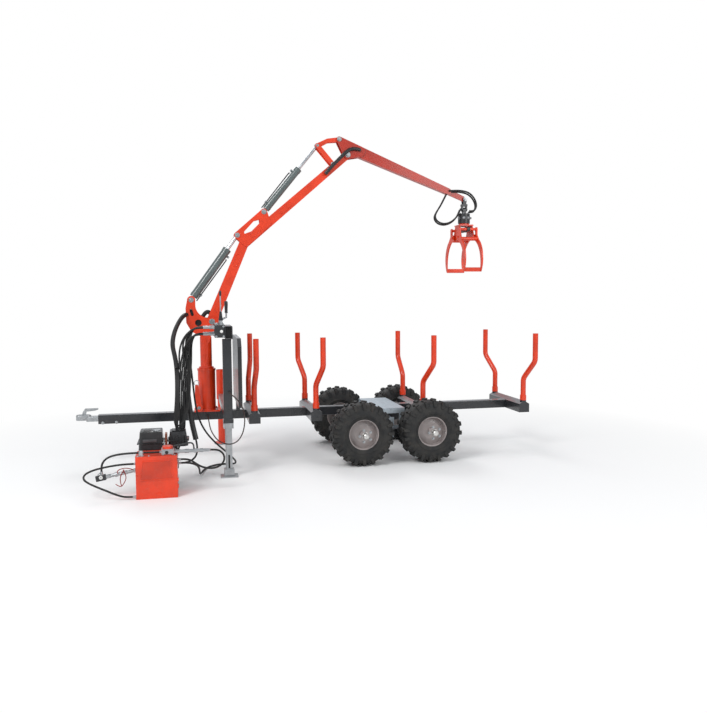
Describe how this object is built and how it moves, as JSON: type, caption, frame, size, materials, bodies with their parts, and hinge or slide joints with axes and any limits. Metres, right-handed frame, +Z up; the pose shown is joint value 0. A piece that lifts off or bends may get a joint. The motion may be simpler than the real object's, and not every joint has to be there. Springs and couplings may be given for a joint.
{
  "type": "forestry crane trailer",
  "caption": "small forestry trailer with bogie wheels, bent stakes on cross bunks, a hydraulic loader crane with grapple and a separate engine pack",
  "frame": {"origin": "centre of the tow ball in the coupling", "axes": "+X rearward along the beam, +Y to the far side in the picture, +Z up"},
  "size_m": [4.1565, 2.047, 2.931],
  "materials": {
    "dark_paint": "gloss",
    "galvanised": "satin",
    "zinc": "satin",
    "red_paint": "gloss",
    "arm_paint": "satin",
    "hose_rubber": "satin",
    "dark_casting": "satin",
    "cylinder_grey": "gloss",
    "grey_tube": "satin",
    "chrome": "polished",
    "tyre_rubber": "matte",
    "rim_silver": "satin"
  },
  "bodies": {
    "trailer": {"drawbar_beam": "dark_paint", "mid_beam": "dark_paint", "rear_beam": "dark_paint", "coupling": "zinc", "bunk_1": "dark_paint", "bunk_2": "dark_paint", "bunk_3": "dark_paint", "bunk_4": "dark_paint", "stakes_1": "red_paint", "stakes_2": "red_paint", "stakes_3": "red_paint", "stakes_4": "red_paint", "axle_bridge": "galvanised", "bogie_near": "dark_paint", "bogie_far": "dark_paint", "headboard": "dark_paint", "crane_base": "red_paint", "leg_carrier": "dark_paint", "post_near": "dark_paint", "sleeve_far": "red_paint", "valve_rail": "dark_paint", "valve_block": "dark_casting", "pack_tank": "red_paint", "pack_engine": "dark_casting", "hand_valve": "dark_casting", "hose_valve_1": "hose_rubber", "hose_valve_2": "hose_rubber", "hose_valve_3": "hose_rubber", "hose_return": "hose_rubber", "hose_loop": "hose_rubber", "hose_left_1": "hose_rubber", "hose_left_2": "hose_rubber", "hose_leg": "hose_rubber"},
    "leg_near": {"leg_near": "zinc"},
    "leg_far": {"leg_far": "grey_tube"},
    "column": {"column_head": "red_paint"},
    "boom": {"boom": "red_paint"},
    "lift_barrel": {"lift_barrel": "cylinder_grey"},
    "lift_rod": {"lift_rod": "chrome"},
    "arm": {"arm": "arm_paint"},
    "arm_barrel": {"arm_barrel": "cylinder_grey"},
    "arm_rod": {"arm_rod": "chrome"},
    "rocker": {"rocker": "red_paint"},
    "link": {"link": "red_paint"},
    "hanger": {"hanger": "dark_casting"},
    "rotator": {"rotator": "dark_casting"},
    "grapple": {"grapple_frame": "red_paint"},
    "jaw_near": {"jaw_near": "red_paint"},
    "jaw_far": {"jaw_far": "red_paint"},
    "grapple_barrel": {"grapple_barrel": "dark_casting"},
    "grapple_rod": {"grapple_rod": "chrome"},
    "wheel_front_near": {"rim_front_near": "rim_silver", "tyre_front_near": "tyre_rubber"},
    "wheel_rear_near": {"rim_rear_near": "rim_silver", "tyre_rear_near": "tyre_rubber"},
    "wheel_front_far": {"rim_front_far": "rim_silver", "tyre_front_far": "tyre_rubber"},
    "wheel_rear_far": {"rim_rear_far": "rim_silver", "tyre_rear_far": "tyre_rubber"}
  },
  "joints": [
    {"name": "leg_near", "type": "slide", "parent": "trailer", "child": "leg_near", "axis": [0, 0, 1], "range_m": [0, 0.25]},
    {"name": "leg_far", "type": "slide", "parent": "trailer", "child": "leg_far", "axis": [0, 0, 1], "range_m": [0, 0.2]},
    {"name": "slew", "type": "hinge", "parent": "trailer", "child": "column", "pos_m": [1.093, 0, 0.416], "axis": [0, 0, 1], "range_deg": [-165, 165]},
    {"name": "boom", "type": "hinge", "parent": "column", "child": "boom", "pos_m": [1.151, 0, 0.838], "axis": [0, 1, 0], "range_deg": [-12, 34]},
    {"name": "lift_barrel", "type": "hinge", "parent": "column", "child": "lift_barrel", "pos_m": [0.973, 0, 1.033], "axis": [0, 1, 0], "range_deg": [-14, 36]},
    {"name": "lift_rod", "type": "slide", "parent": "lift_barrel", "child": "lift_rod", "axis": [0.5873, 0, 0.8094], "range_m": [-0.06, 0.17]},
    {"name": "arm", "type": "hinge", "parent": "boom", "child": "arm", "pos_m": [2.408, 0, 2.35], "axis": [0, -1, 0], "range_deg": [-60, 35]},
    {"name": "rocker", "type": "hinge", "parent": "boom", "child": "rocker", "pos_m": [2.27, 0, 2.26], "axis": [0, -1, 0], "range_deg": [-46, 28]},
    {"name": "link", "type": "hinge", "parent": "arm", "child": "link", "pos_m": [2.33, 0, 2.486], "axis": [0, -1, 0], "range_deg": [-30, 50]},
    {"name": "arm_barrel", "type": "hinge", "parent": "boom", "child": "arm_barrel", "pos_m": [1.633, 0, 1.82], "axis": [0, -1, 0], "range_deg": [-5, 4]},
    {"name": "arm_rod", "type": "slide", "parent": "arm_barrel", "child": "arm_rod", "axis": [0.6337, 0, 0.7736], "range_m": [-0.095, 0.16]},
    {"name": "tip_swing", "type": "hinge", "parent": "arm", "child": "hanger", "pos_m": [3.553, 0, 1.973], "axis": [0, 1, 0], "range_deg": [-80, 50]},
    {"name": "cross_swing", "type": "hinge", "parent": "hanger", "child": "rotator", "pos_m": [3.553, 0, 1.878], "axis": [1, 0, 0], "range_deg": [-25, 25]},
    {"name": "rotator", "type": "hinge", "parent": "rotator", "child": "grapple", "pos_m": [3.553, 0, 1.74], "axis": [0, 0, 1], "continuous": true},
    {"name": "jaw_near", "type": "hinge", "parent": "grapple", "child": "jaw_near", "pos_m": [3.553, -0.075, 1.612], "axis": [1, 0, 0], "range_deg": [-18, 33]},
    {"name": "jaw_far", "type": "hinge", "parent": "grapple", "child": "jaw_far", "pos_m": [3.553, 0.075, 1.612], "axis": [1, 0, 0], "range_deg": [-34, 19]},
    {"name": "grapple_barrel", "type": "hinge", "parent": "jaw_near", "child": "grapple_barrel", "pos_m": [3.553, -0.11, 1.682], "axis": [1, 0, 0], "range_deg": [-34, 19]},
    {"name": "grapple_rod", "type": "slide", "parent": "grapple_barrel", "child": "grapple_rod", "axis": [0, 1, 0], "range_m": [-0.06, 0.09]},
    {"name": "wheel_front_near", "type": "hinge", "parent": "trailer", "child": "wheel_front_near", "pos_m": [2.409, -0.5305, -0.1405], "axis": [0, 1, 0], "continuous": true},
    {"name": "wheel_rear_near", "type": "hinge", "parent": "trailer", "child": "wheel_rear_near", "pos_m": [3.031, -0.5305, -0.1405], "axis": [0, 1, 0], "continuous": true},
    {"name": "wheel_front_far", "type": "hinge", "parent": "trailer", "child": "wheel_front_far", "pos_m": [2.409, 0.5305, -0.1405], "axis": [0, 1, 0], "continuous": true},
    {"name": "wheel_rear_far", "type": "hinge", "parent": "trailer", "child": "wheel_rear_far", "pos_m": [3.031, 0.5305, -0.1405], "axis": [0, 1, 0], "continuous": true}
  ],
  "couplings": [
    {"joint": "lift_barrel", "follows": "boom", "ratio": 1.0035},
    {"joint": "lift_rod", "follows": "boom", "m_per_rad": 0.2565},
    {"joint": "rocker", "follows": "arm", "ratio": 0.732},
    {"joint": "link", "follows": "arm", "ratio": -0.804},
    {"joint": "arm_barrel", "follows": "arm", "ratio": 0.055},
    {"joint": "arm_rod", "follows": "arm", "m_per_rad": -0.1468},
    {"joint": "jaw_far", "follows": "jaw_near", "ratio": -1},
    {"joint": "grapple_barrel", "follows": "jaw_near", "ratio": -1},
    {"joint": "grapple_rod", "follows": "jaw_near", "m_per_rad": 0.1254}
  ]
}
